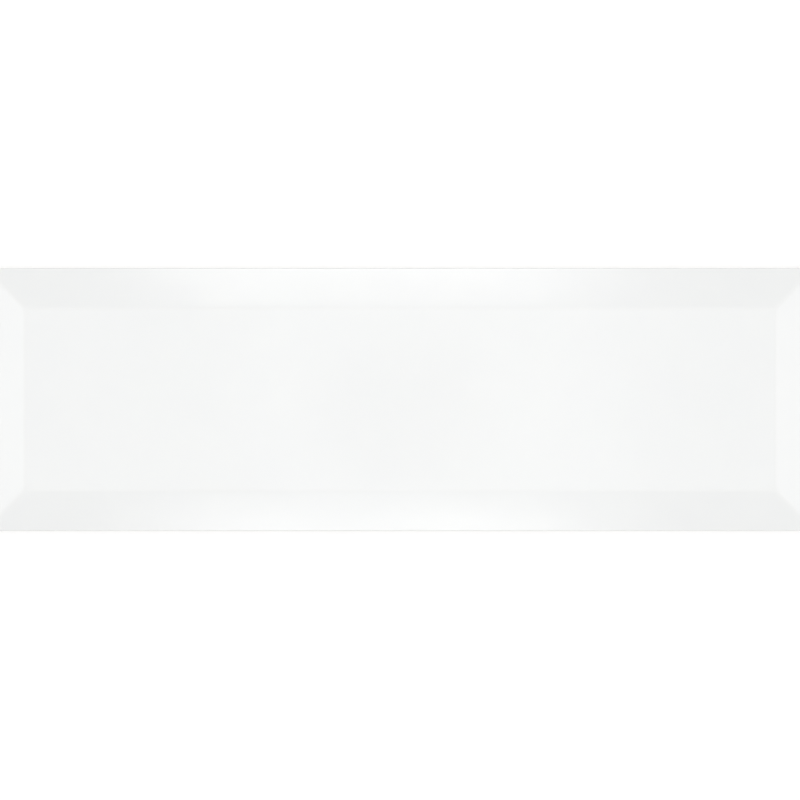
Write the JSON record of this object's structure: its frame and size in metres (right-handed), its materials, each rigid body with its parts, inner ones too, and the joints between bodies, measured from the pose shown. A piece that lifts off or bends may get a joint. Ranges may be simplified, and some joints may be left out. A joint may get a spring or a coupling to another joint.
{
  "type": "bevelled ceramic wall tile",
  "caption": "Long rectangular wall tile with a flat glazed field, sloping mitred borders on every side, rolled glaze edges and a back keyed for adhesive.",
  "frame": {"origin": "middle of the back, on the plane of the ribs that meet the adhesive", "axes": "+X along the tile's length, +Y across its width, +Z out of the glazed face"},
  "size_m": [0.3, 0.095, 0.008],
  "materials": {
    "white_glazed_ceramic": "glossy white glaze over the face and the upper edges, unglazed pale biscuit on the lower edges and the back"
  },
  "bodies": {
    "root": {"bevelled_tile": "white_glazed_ceramic"}
  },
  "joints": []
}
